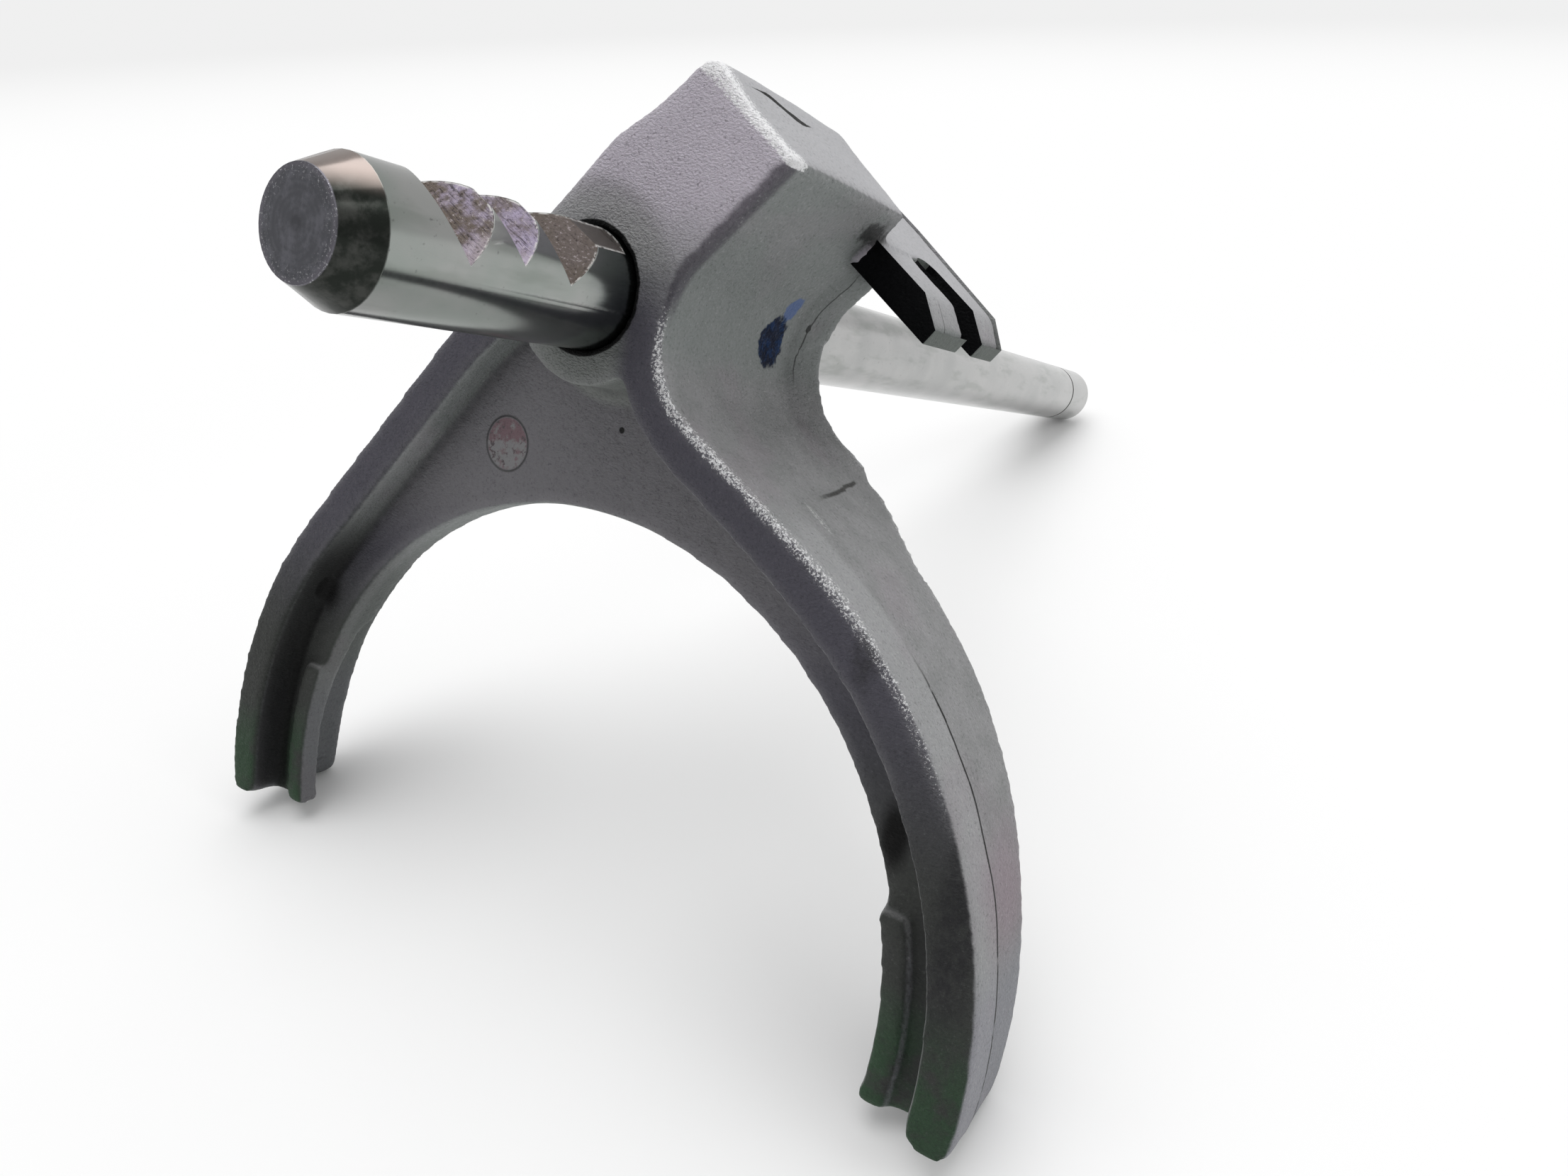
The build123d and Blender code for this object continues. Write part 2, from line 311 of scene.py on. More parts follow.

# Colours of its marks, of the painted shade in its steps, gaps and channels, of the date disc, of the
# paint and of the driver plate
PARTING_TONE = (0.012, 0.012, 0.012)
LAP_TONE = (0.03, 0.03, 0.028)
COLLAR_SHADE = (0.02, 0.02, 0.02)
GAP_SHADE = (0.004, 0.004, 0.004)
CHANNEL_SHADE = (0.05, 0.056, 0.05)
DISC_BROWN = (0.185, 0.12, 0.135)
DISC_GREY = (0.23, 0.23, 0.235)
DISC_DIRT = (0.10, 0.085, 0.09)
DISC_RIM = (0.06, 0.06, 0.06)
CENTRE_MARK_TONE = (0.015, 0.015, 0.015)
PAINT_STROKE = (0.08, 0.14, 0.33)
PAINT_DEEP = (0.0005, 0.004, 0.022)
PAINT_BLUE = (0.003, 0.024, 0.085)
PAINT_STREAK = (0.10, 0.17, 0.32)
PLATE_GREY = (0.24, 0.255, 0.24)
PLATE_NOSE = (0.085, 0.10, 0.09)
PRONG_SHADE = (0.002, 0.002, 0.003)

# The iron's own shine, low because its skin is blasted
IRON_SPECULAR = 0.2
IRON_METALLIC = 0.3
IRON_SMOOTH, IRON_ROUGH = 0.52, 0.7


def casting(name="cast_fork", crisp=False):
    """Blasted grey iron, bright on the worn edges, with painted light on the roof, the hub's front and
    the outward faces, and painted shade down the tines' fronts and in the creases, channels and gaps.
    The plate is crisp.
    """
    n = Nodes(name)
    m = iron_masks(n)
    base = side_tones(n, m)
    for layer in (hub_tones, tine_tones, edge_tones, bright_wear, specks):
        base = layer(n, m, base)
    base = channel_shade(n, base)
    base = n.mix(parting_line(n), base, PARTING_TONE)
    base = salt(n, m, base)
    base = n.mix(lap_mark(n), base, LAP_TONE)
    # painted shade inside the roof's open seam
    base = n.mix(roof_seam(n), base, GAP_SHADE)
    base = n.mix(collar_line(n), base, COLLAR_SHADE)
    base, dull = blue_paint(n, base)
    spot = n.distance(DISC_CENTRE)
    base = date_disc(n, spot, base)
    # painted shade in the bore's mouth
    bore_mouth_shade = n.times(n.step(m.ring, 14.0, 13.6), n.step(n.y, 72.0, 70.0))
    base = n.mix(bore_mouth_shade, base, GAP_SHADE)
    if crisp:
        base, prong_shade = plate_tones(n, m, base)
        dull = n.larger(dull, prong_shade)
    n.shader.inputs["Specular IOR Level"].default_value = IRON_SPECULAR
    rough = n.step(m.speckle, 0.3, 0.7, IRON_SMOOTH, IRON_ROUGH)
    return n.finish(base, rough, n.larger(dull, IRON_METALLIC), blasted_relief(n, m, spot))


def iron_masks(n):
    """Noises, facings and places that several layers of the casting's finish share."""
    broad = n.noise(0.035, 4.0, 0.55)
    return SimpleNamespace(
        broad=broad,
        patches=n.noise(0.12, 4.0, 0.6),
        speckle=n.noise(1.5, 4.0, 0.75),
        threads=n.noise(1.8, 5.0, 0.85),
        front=n.step(n.normal(FORWARD), 0.35, 0.8),
        outer=n.step(n.normal((1, 0, 0.2)), 0.2, 0.8),
        side=n.step(n.normal(FLANK_FACING), 0.3, 0.7),
        roof=n.step(n.normal(ROOF_NORMAL), 0.75, 0.93),
        down=n.step(n.plus(n.z, n.times(broad, 20.0)), 21.0, 2.0),
        ring=n.radius(n.x, n.z),
        worn=n.attribute("edge_wear"),
    )


def side_tones(n, m):
    """Patchy grey, with the casts of the right side, painted light on the outward faces, and the roof
    lighter with painted light.
    """
    base = n.mix(n.step(m.patches, 0.3, 0.7), IRON_DARK, IRON_LIGHT)
    base = n.mix(n.times(m.side, 0.6), base, IRON_GREENISH)
    before_parting = n.times(n.step(n.y, 85.0, 82.5), n.step(n.z, -34.0, -42.0))
    # painted light on the outward faces in front of the parting line
    base = n.mix(n.times(m.outer, before_parting, 0.55), base, OUTER_LIGHT)
    pink = n.step(n.distance((110.0, 92.0, -101.0), (16.0, 22.0, 22.0)), 1.0, 0.2, 0.6)
    base = n.mix(n.times(pink, m.outer), base, PINK_CAST)
    base = n.mix(n.times(n.step(n.z, -108.0, -124.0, 0.5), m.outer), base, BLUE_CAST)
    base = n.mix(n.times(n.step(m.broad, 0.52, 0.64), n.times(m.outer, 0.2)), base, LILAC_CAST)
    # painted light on the roof
    return n.mix(n.times(m.roof, n.step(n.z, 0.0, 20.0)), base, ROOF_LIGHT)


def hub_tones(n, m, base):
    """Front face of the hub in painted light, lilac and paler above, and darker round the bore as
    painted shade.
    """
    upward = n.step(n.plus(n.z, n.times(m.broad, 14.0)), 12.0, 30.0)
    tone = n.mix(upward, HUB_LIT_LOW, HUB_LIT_HIGH)
    # painted shade round the bore
    tone = n.mix(n.step(m.ring, 24.5, 17.0, 0.75), tone, BORE_SHADE)
    return n.mix(n.times(m.front, n.minus(1.0, m.down), 0.85), base, tone)


def tine_tones(n, m, base):
    """Front faces of the tines in painted shade, darker towards the bottom, sooty by the outer edge,
    green at the tips, paler on the web.
    """
    tone = n.mix(n.step(n.z, -60.0, -105.0), TINE_SHADE_HIGH, TINE_SHADE_LOW)
    blotches = n.step(n.noise(0.3, 4.0, 0.7), 0.35, 0.6)
    long_patch = n.step(n.distance((103.0, 71.0, -103.0), (7.5, 4.0, 34.0)), 1.0, 0.3, 0.95)
    short_patch = n.step(n.distance((75.0, 71.0, -59.0), (4.5, 4.0, 9.0)), 1.0, 0.3, 0.6)
    dark_patch = n.times(n.larger(long_patch, short_patch), n.plus(0.4, n.times(blotches, 0.6)))
    tone = n.mix(dark_patch, tone, TINE_SOOT)
    green = n.times(n.step(n.z, -118.0, -140.0), n.step(m.patches, 0.3, 0.55))
    tone = n.mix(green, tone, TINE_GREEN)
    web = n.times(n.step(n.y, 77.0, 78.5), n.step(n.z, -75.0, -50.0))
    tone = n.mix(web, tone, WEB_TONE)
    return n.mix(n.times(m.front, m.down, 0.92), base, tone)


def edge_tones(n, m, base):
    """Painted highlight on the lip under the bore, painted shade in the creases, paler edges, and
    painted shade on the hub's rolled edge.
    """
    # painted highlight on the boss's lower rim under the bore
    lip_place = n.times(n.step(n.x, 14.0, 8.0), n.step(n.z, -4.0, -10.0))
    lip = n.times(n.step(m.ring, 24.5, 22.0), lip_place)
    base = n.mix(n.times(lip, 0.8), base, LIP_HIGHLIGHT)
    base = n.mix(n.times(n.step(n.attribute("crease_shade"), 0.1, 0.8), 0.7), base, CREASE_SHADE)
    pale = n.times(n.step(m.worn, 0.1, 0.9), n.step(n.z, -92.0, -76.0, 0.3))
    base = n.mix(pale, base, EDGE_TONE)
    # painted shade on the hub's rounded edge where the front turns to the flank
    turned = n.step(n.normal(FLANK_FACING), 0.05, 0.35)
    rolled_shade = n.times(turned, n.step(n.y, 70.5, 68.5), n.step(n.z, -6.0, 2.0))
    return n.mix(n.times(rolled_shade, 0.75), base, ROLLED_EDGE_SHADE)


def bright_wear(n, m, base):
    """Ragged white wear on the roof's front edge and down the right tine's outer edge."""
    height = n.plus(n.times(n.x, ROOF_NORMAL[0]), n.times(n.z, ROOF_NORMAL[2]))
    crest = n.times(n.step(height, 46.4, 47.6), n.step(n.y, 73.0, 70.0))
    turned = n.normal((1, 0, 0.3))
    flank_place = n.times(n.step(turned, 0.97, 0.8), n.step(n.x, 13.0, 16.0))
    flank_span = n.times(n.step(n.z, 3.0, -10.0), n.step(n.z, -104.0, -30.0))
    flank = n.times(n.step(turned, 0.0, 0.3), flank_place, flank_span)
    bright = n.times(m.worn, n.larger(n.times(crest, 1.7), n.times(flank, 1.05)))
    ragged = n.plus(bright, n.times(n.minus(m.threads, 0.5), 4.8))
    shown = n.times(n.step(ragged, 0.5, 0.7), n.step(bright, 0.05, 0.25))
    return n.mix(n.times(shown, 0.9), base, BRIGHT_IRON)


def specks(n, m, base):
    """Dark pits and light grains of the blasted skin, fewer on the tines' fronts."""
    base = n.mix(n.times(n.step(m.speckle, 0.45, 0.30), 0.5), base, PIT_TONE)
    share = n.plus(n.times(n.minus(1.0, n.times(m.front, m.down)), 0.32), 0.06)
    return n.mix(n.times(n.step(m.speckle, 0.58, 0.72), share), base, GRAIN_TONE)


def salt(n, m, base):
    """Row of pale dashes on the right shoulder."""
    strip = n.step(n.distance((51.3, 88.3, -38.2), (5.5, 1.2, 4.5)), 1.0, 0.7)
    dashes = n.times(strip, n.step(m.threads, 0.5, 0.6))
    return n.mix(n.times(dashes, 0.7), base, SALT_TONE)


def date_disc(n, spot, base):
    """Plain disc on the web, brown above and grey below in a dark rim, with a mark beside it."""
    mottle = n.plus(n.noise(0.45, 4.0, 0.7), n.step(n.z, -39.0, -34.0, -0.08, 0.08))
    tone = n.mix(n.step(mottle, 0.45, 0.58), DISC_BROWN, DISC_GREY)
    tone = n.mix(n.step(n.noise(0.9, 3.0, 0.7), 0.44, 0.36), tone, DISC_DIRT)
    base = n.mix(n.step(spot, 6.3, 5.8, 0.9), base, tone)
    base = n.mix(n.times(n.step(n.off(spot, 6.5), 0.45, 0.1), 0.7), base, DISC_RIM)
    return n.mix(n.step(n.distance(CENTRE_MARK), 0.9, 0.55), base, CENTRE_MARK_TONE)


def plate_tones(n, m, base):
    """Driver plate: greenish grey, its nose darker, the front faces of its prongs and slot darkest
    with painted shade.
    """
    base = n.mix(n.step(m.patches, 0.3, 0.7, 0.8, 0.6), base, PLATE_GREY)
    nose = n.step(n.normal(ROOF_SLOPE), 0.3, 0.42)
    base = n.mix(n.times(nose, 0.8), base, PLATE_NOSE)
    slot = n.times(n.step(n.y, 134.0, 134.2), n.step(n.y, 145.3, 145.1))
    prongs = n.larger(slot, n.step(n.y, 114.6, 114.3))
    # painted shade on the forward faces of the prongs and slot
    prong_shade = n.times(n.step(n.normal(FORWARD), 0.5, 0.8), prongs)
    return n.mix(n.times(prong_shade, 0.97), base, PRONG_SHADE), prong_shade


def blasted_relief(n, m, spot):
    """Grain, strongest on the front faces, slow waves under it, and the disc's low step."""
    coarse = n.noise(1.7, 2.0, 0.6, stretch=(0.8, 1.0, 1.3))
    grain = n.plus(coarse, n.times(m.speckle, 0.5))
    blasted = n.times(m.front, n.step(n.y, 77.5, 75.0))
    relief = n.bump(n.times(grain, n.plus(0.3, n.times(blasted, 0.7))), 0.8)
    relief = n.bump(n.noise(0.25, 3.0, 0.5), 0.45, relief)
    disc = n.times(n.step(spot, 6.6, 6.2), n.step(n.y, 81.0, 80.5))
    return n.bump(disc, 0.3, relief)


def parting_line(n):
    """Thin dark line that the mould left along the outer face of the right tine."""
    off = n.off(n.plus(n.y, n.wander(1.6, 0.08, 2.0)), PARTING_PLACE)
    place = n.times(n.step(n.z, -56.0, -68.0), n.step(n.normal(RIGHTWARD), 0.2, 0.4))
    place = n.times(place, n.step(n.x, 0.0, 1.0))
    broken = n.step(n.noise(0.2, 2.0), 0.34, 0.42, 1.0, 0.3)
    return n.times(n.step(off, 0.5, 0.24), place, broken)


def lap_mark(n):
    """Dark lap mark across the shoulder behind the neck."""
    level = n.plus(n.z, n.times(n.minus(n.y, 104.3), -0.092))
    off = n.math("ABSOLUTE", n.plus(level, 34.4, n.wander(0.6, 0.3)))
    line = n.times(n.step(off, 0.5, 0.15), n.step(n.normal((1, 0, 0.8)), 0.5, 0.8))
    return n.times(line, n.times(n.step(n.y, 93.0, 104.0, 0.9), n.step(n.y, 123.0, 121.0)))


def roof_seam(n):
    """Open seam in the roof, wider in its middle, drawn as painted shade."""
    down = n.plus(n.times(n.x, ROOF_SLOPE[0]), n.times(n.z, ROOF_SLOPE[2]))
    start = float(RIDGE @ ROOF_SLOPE) + 5.4
    middle = n.step(n.y, 76.0, 88.0, start + 4.2, start)
    off = n.off(n.plus(down, n.wander(1.6, 0.25)), middle)
    width = n.step(n.off(n.y, 84.0), 8.0, 3.0, 1.25, 0.15)
    line = n.step(n.minus(off, width), 0.12, 0.0)
    span = n.times(n.step(n.y, 73.0, 76.0), n.step(n.y, 95.0, 91.0))
    return n.times(line, span, n.step(n.normal(ROOF_NORMAL), 0.5, 0.8))


def collar_line(n):
    """Painted shade along the step round the neck in front of its collar and in the crease at the
    plate's root, with a dark nick.
    """
    course = n.minus(n.y, n.times(n.z, 0.08))
    off = n.off(n.plus(course, n.wander(0.8, 0.3)), 121.4)
    line = n.times(n.step(off, 0.32, 0.1), n.step(n.normal((1, 0, -0.3)), 0.5, 0.8))
    line = n.times(line, n.times(n.step(n.z, -16.0, -6.0), n.step(n.z, 16.0, 12.0)))
    ragged = n.wander(1.6, 0.5, 4.0, 0.7)
    nick = n.step(n.plus(n.distance((23.2, 121.3, 0.8), (1.1, 0.8, 1.3)), ragged), 1.0, 0.7)
    # painted shade in the crease where the plate leaves the neck
    dark_patch = n.step(n.plus(n.distance((40.8, 111.6, 22.3), (4.6, 6.2, 3.8)), ragged), 1.1, 0.4)
    return n.larger(n.times(line, 0.75), n.times(n.larger(nick, dark_patch), 0.85))


def channel_shade(n, base):
    """Painted shade: darker on the left tine's inner wall, and darkest in the channels beside the
    pads, thickest above.
    """
    arc = n.radius(n.x, n.plus(n.z, -ARC_CENTRE))
    place = n.times(n.step(n.x, -66.0, -84.0), n.step(n.y, 70.8, 72.5))
    band = n.times(n.step(n.off(arc, 100.4), 2.6, 0.8), place)
    left = n.step(n.distance((-87.0, 78.3, -87.0), (7.0, 5.0, 10.0)), 1.0, 0.35)
    right = n.step(n.distance((84.5, 79.7, -94.8), (5.0, 4.0, 11.0)), 1.0, 0.3)
    # painted shade in the channels beside the pads
    painted_shade = n.larger(n.times(band, 0.85), n.times(n.larger(left, right), 0.97))
    # painted shade on the left tine's inner wall
    wall_shade = n.times(n.step(n.x, -50.0, -75.0, 0.55), n.step(n.normal(RIGHTWARD), 0.2, 0.6))
    base = n.mix(wall_shade, base, CHANNEL_SHADE)
    return n.mix(n.times(painted_shade, n.step(n.y, 84.0, 82.0)), base, GAP_SHADE)


def blue_paint(n, base):
    """Dab of inspection paint on the neck, dark, with a lighter stroke above it."""
    edge = n.wander(0.9, 0.35, 3.0, 0.6)
    dab = n.plus(n.distance((21.2, 108.8, -3.9), (4.5, 5.6, 6.9)), edge)
    stroke = n.plus(n.distance((23.9, 111.6, 4.2), (2.9, 3.1, 4.0)), edge)
    tone = n.mix(n.step(n.noise(0.5, 3.0, 0.7), 0.45, 0.62), PAINT_DEEP, PAINT_BLUE)
    base = n.mix(n.times(n.step(stroke, 1.0, 0.75), 0.8), base, PAINT_STROKE)
    streak = n.off(n.noise(0.22, 4.0, 0.65), 0.5)
    tone = n.mix(n.step(streak, 0.009, 0.002, 0.35), tone, PAINT_STREAK)
    dab = n.step(dab, 1.0, 0.8)
    return n.mix(n.times(dab, 0.97), base, tone), dab


# Colours of the rod, its ground steel before and behind the fork, its lead, its end face and
# its notches, and of the pin
NEAR_GREEN, NEAR_GREY = (0.285, 0.31, 0.29), (0.345, 0.35, 0.34)
FAR_DARK, FAR_LIGHT = (0.36, 0.365, 0.36), (0.42, 0.42, 0.415)
HUB_SHADE_ON_ROD = (0.10, 0.12, 0.125)
SMEAR_TONE = (0.19, 0.215, 0.19)
DUST_TONE = (0.08, 0.08, 0.08)
CONE_DARK, CONE_GREY = (0.020, 0.023, 0.020), (0.050, 0.052, 0.048)
CONE_REFLECTION = (0.27, 0.225, 0.205)
END_DARK, END_LIGHT = (0.086, 0.087, 0.098), (0.112, 0.113, 0.125)
END_CLOUD = (0.14, 0.14, 0.16)
END_CENTRE = (0.04, 0.04, 0.045)
END_RIM = (0.16, 0.15, 0.175)
NICK_TONE = (0.42, 0.42, 0.44)
MILLED_BROWN, MILLED_LILAC = (0.17, 0.14, 0.12), (0.43, 0.38, 0.50)
TOOL_DARK, TOOL_LIGHT = (0.06, 0.05, 0.055), (0.65, 0.60, 0.60)
MILLED_HIGHLIGHT = (0.62, 0.55, 0.62)
LAST_NOTCH = (0.15, 0.125, 0.108)
FLECK_LIGHT, FLECK_DARK = (0.70, 0.64, 0.66), (0.03, 0.026, 0.026)
FLAT_TONE = (0.12, 0.11, 0.105)
BURR_TONE = (0.80, 0.79, 0.77)
PIN_DARK, PIN_LIGHT = (0.06, 0.06, 0.065), (0.11, 0.11, 0.115)


def rod_steel():
    """Ground rod with a dark turned lead, a turned end face and milled notches."""
    n = Nodes("ground_rod")
    fine = n.noise(0.9, 4.0, 0.6, stretch=(1.0, 14.0, 1.0))
    broad = n.noise(0.05, 3.0)
    tooling = n.noise(1.0, 3.0, 0.7, stretch=(0.12, 2.2, 0.12))
    flecks = n.noise(1.3, 5.0, 0.8)
    radius = n.radius(n.x, n.z)
    rings = n.math("SINE", n.times(radius, 5.5))
    face = n.step(n.y, 0.35, 0.1)
    notched = n.times(n.step(n.y, 12.0, 13.0), n.step(n.y, 69.0, 68.0))
    cut = n.times(n.step(radius, 12.46, 12.38), notched)
    base = ground_tones(n, broad)
    base = n.mix(n.step(n.y, 7.1, 6.7), base, lead_tones(n, broad))
    base = n.mix(face, base, end_tones(n, radius, rings))
    base = n.mix(cut, base, notch_tones(n, radius, tooling, flecks))
    rough = n.plus(n.step(fine, 0.3, 0.7, 0.21, 0.15), n.times(cut, 0.32), n.times(face, 0.18))
    relief = n.bump(fine, 0.003)
    relief = n.bump(n.times(flecks, cut), 0.5, relief)
    relief = n.bump(n.times(tooling, cut), 0.25, relief)
    relief = n.bump(n.times(rings, face), 0.004, relief)
    return n.finish(base, rough, 1.0, relief)


def ground_tones(n, broad):
    """Round of the rod, darker by the hub with painted shade, with smears and dust."""
    patches = n.step(broad, 0.35, 0.65)
    near = n.mix(patches, NEAR_GREEN, NEAR_GREY)
    far = n.mix(patches, FAR_DARK, FAR_LIGHT)
    base = n.mix(n.step(n.y, 60.0, 100.0), near, far)
    # painted shade on the rod where it enters the hub
    rod_shade = n.times(n.step(n.y, 50.0, 66.0, 0.6), n.step(n.y, 100.0, 80.0))
    base = n.mix(rod_shade, base, HUB_SHADE_ON_ROD)
    smear = n.noise(0.16, 3.0, 0.6, stretch=(1.0, 0.25, 1.0))
    base = n.mix(n.step(smear, 0.5, 0.68, 0.4), base, SMEAR_TONE)
    return n.mix(n.times(n.step(n.noise(0.8, 5.0, 0.7), 0.62, 0.72), 0.5), base, DUST_TONE)


def lead_tones(n, broad):
    """Turned cone, dark below and brownish above, a painted reflection."""
    tone = n.mix(n.step(n.noise(0.25, 4.0, 0.65), 0.4, 0.65), CONE_DARK, CONE_GREY)
    # painted reflection: light band along the cone's top
    return n.mix(n.step(n.plus(n.z, n.times(broad, 3.0)), 6.5, 11.5), tone, CONE_REFLECTION)


def end_tones(n, radius, rings):
    """End face, with worn turning rings, a dark centre, a paler rim and small nicks."""
    worn_rings = n.times(n.step(rings, -0.8, 1.0), n.step(n.noise(0.35, 3.0, 0.7), 0.35, 0.7))
    tone = n.mix(worn_rings, END_DARK, END_LIGHT)
    tone = n.mix(n.step(n.noise(0.3, 4.0, 0.7), 0.45, 0.65, 0.7), tone, END_CLOUD)
    tone = n.mix(n.step(radius, 2.2, 0.6, 0.45), tone, END_CENTRE)
    tone = n.mix(n.step(radius, 8.0, 8.7, 0.5), tone, END_RIM)
    nicks = n.times(n.step(n.noise(1.9, 3.0, 0.8), 0.57, 0.64), n.step(radius, 5.5, 8.8))
    return n.mix(nicks, tone, NICK_TONE)


def notch_tones(n, radius, tooling, flecks):
    """Milled faces, stained brown and lilac, with tool marks, a painted highlight near their outer
    edge, flecks and bright burrs.
    """
    stain = n.plus(n.noise(0.16, 4.0, 0.7), n.step(n.y, 26.0, 31.0, 0.04, -0.09))
    middle = n.step(n.distance((11.5, 36.0, 3.0), (5.0, 8.0, 8.0)), 1.0, 0.5, 0.12)
    tone = n.mix(n.step(n.plus(stain, middle), 0.38, 0.66), MILLED_BROWN, MILLED_LILAC)
    tone = n.mix(n.step(tooling, 0.47, 0.36, 0.7), tone, TOOL_DARK)
    tone = n.mix(n.step(tooling, 0.6, 0.72, 0.45), tone, TOOL_LIGHT)
    # painted highlight near the notches' outer edge
    pale = n.step(n.distance((11.5, 28.0, 0.0), (4.0, 22.0, 6.0)), 1.0, 0.4, 0.5)
    tone = n.mix(pale, tone, MILLED_HIGHLIGHT)
    tone = n.mix(n.step(n.y, 43.5, 46.5, 0.95), tone, LAST_NOTCH)
    tone = n.mix(n.times(n.step(flecks, 0.56, 0.66), 0.6), tone, FLECK_LIGHT)
    tone = n.mix(n.times(n.step(flecks, 0.45, 0.36), 0.8), tone, FLECK_DARK)
    tone = n.mix(n.times(n.step(n.y, 57.0, 57.6), 0.8), tone, FLAT_TONE)
    burr = n.times(n.step(radius, 12.0, 12.3), n.step(n.noise(0.7, 3.0, 0.7), 0.42, 0.55))
    return n.mix(n.times(burr, 0.8), tone, BURR_TONE)


def pin_steel():
    """Dark, slightly mottled steel of the spring pin."""
    n = Nodes("dark_pin")
    fine = n.noise(0.8, 4.0, 0.6)
    base = n.mix(n.step(fine, 0.35, 0.65), PIN_DARK, PIN_LIGHT)
    return n.finish(base, n.step(fine, 0.3, 0.7, 0.35, 0.5), 0.9, n.bump(fine, 0.03))


def ramp(value, low, high):
    """Smooth rise from 0 to 1 as the value goes from low to high."""
    share = np.clip((value - low) / (high - low), 0, 1)
    return share * share * (3 - 2 * share)


# Remesh of the cast fork's visual copy, in metres, and its rounding. A point that the rounding
# takes off by FULL_WEAR millimetres counts as fully worn.
CAST_VOXEL = 0.00107
WRAP_LIMIT = 0.8 * CAST_VOXEL
EVENING_STEPS = 24
EVENING_PULLS = (0.6, -0.62)
ROUNDING_STEPS = 9
ROUNDING_PULL = 0.5
PAD_ROUNDING = 0.35
BORE_ROUNDING = 0.3
MASK_SPREAD = 4
FULL_WEAR = 0.45

# Small forms of the visual copy, in millimetres
RIDGE_LIFT = 2.1
ROOF_CROWN = 1.2
LONG_SWELL, SHORT_SWELL = 0.12, 0.04
DISH_DEPTH = 0.35
TORN_DEPTH, TORN_WAVE, TORN_SPREAD = 0.9, 1.3, 3.2
PLATE_SINK = 0.45


def cast_fork():
    """Visual copy of the cast fork, remeshed so that its edges can be rounded."""
    source = frame["nodes"]["shift_fork"]
    piece = bpy.data.objects.new("fork_casting", source.data.copy())
    piece.matrix_world = source.matrix_world
    bpy.context.scene.collection.objects.link(piece)
    remesh(piece, source)
    co, edges = mesh_arrays(piece.data)
    # a pull and a slightly larger push, which take the remesh's steps away and keep the size
    for _ in range(EVENING_STEPS):
        for pull in EVENING_PULLS:
            co += pull * (neighbour_mean(co, edges) - co)
    before = co.copy()
    soft = rounding_share(to_local(co))
    for _ in range(ROUNDING_STEPS):
        co += (ROUNDING_PULL * soft)[:, None] * (neighbour_mean(co, edges) - co)
    # the normals are the remesh's own, whose points are set only after the masks
    rounded_off = ((before - co) * vertex_normals(piece.data)).sum(1) * 1000
    wear = spread(np.clip(rounded_off / FULL_WEAR, 0, 1), edges)
    # points that the rounding pushes out lie in creases, which get painted shade
    painted_shade = spread(np.clip(-rounded_off / FULL_WEAR, 0, 1), edges)
    set_points(piece.data, co)
    normals = vertex_normals(piece.data)
    local = to_local(co)
    co += normals * (casting_forms(local, to_local_direction(normals)) / 1000)[:, None]
    co += np.array(above) * (ridge_lift(local) / 1000)[:, None]
    set_points(piece.data, co)
    piece.data.shade_smooth()
    for name, values in (("edge_wear", wear), ("crease_shade", painted_shade)):
        layer = piece.data.attributes.new(name, "FLOAT", "POINT")
        layer.data.foreach_set("value", values.astype(np.float32))
    piece.data.materials.clear()
    piece.data.materials.append(casting())
    return piece


def remesh(piece, source):
    """Even mesh of the source, brought back out to its edges, which the remesh cuts off."""
    even = piece.modifiers.new("remesh", "REMESH")
    even.mode = "VOXEL"
    even.voxel_size = CAST_VOXEL
    wrap = piece.modifiers.new("wrap", "SHRINKWRAP")
    wrap.target = source
    wrap.wrap_method = "PROJECT"
    wrap.use_negative_direction = True
    wrap.use_positive_direction = True
    wrap.project_limit = WRAP_LIMIT
    graph = bpy.context.evaluated_depsgraph_get()
    made = bpy.data.meshes.new_from_object(piece.evaluated_get(graph))
    piece.modifiers.clear()
    piece.data = made


def mesh_arrays(mesh):
    """Points of a mesh, and the two points of each of its edges."""
    co = np.empty(len(mesh.vertices) * 3)
    mesh.vertices.foreach_get("co", co)
    edges = np.empty(len(mesh.edges) * 2, dtype=np.int64)
    mesh.edges.foreach_get("vertices", edges)
    return co.reshape(-1, 3), edges.reshape(-1, 2)


def set_points(mesh, co):
    mesh.vertices.foreach_set("co", co.ravel())
    mesh.update()


def vertex_normals(mesh):
    normals = np.empty(len(mesh.vertices) * 3)
    mesh.vertices.foreach_get("normal", normals)
    return normals.reshape(-1, 3)


def neighbour_mean(values, edges):
    """Mean of each point's neighbours, for each column of values."""
    size = len(values)
    first, second = edges.T
    count = np.bincount(edges.ravel(), minlength=size)
    total = np.stack([
        np.bincount(first, column[second], size) + np.bincount(second, column[first], size)
        for column in values.T
    ], axis=1)
    return total / np.maximum(count, 1)[:, None]


def spread(mask, edges):
    """The mask, softened over the points next to it."""
    for _ in range(MASK_SPREAD):
        mask = neighbour_mean(mask[:, None], edges)[:, 0]
    return mask


def to_local(co):
    """Row-frame metres to local millimetres."""
    back = np.array(REST.inverted())
    return (co @ back[:3, :3].T + back[:3, 3]) * 1000


def to_local_direction(vectors):
    return vectors @ np.array(REST.inverted())[:3, :3].T


def on_pads(local):
    """Whether each point is on a tine's machined pad."""
    x, y, z = local.T
    return (np.hypot(x, z - ARC_CENTRE) < PAD_ARC) & (z < PAD_TOP) & (y < PAD_BACK)


def rounding_share(local):
    """Share of the rounding that each point gets: little on the machined faces."""
    x, _, z = local.T
    share = np.ones(len(local))
    share[on_pads(local)] = PAD_ROUNDING
    share[np.hypot(x, z) < 15.0] = BORE_ROUNDING
    return share


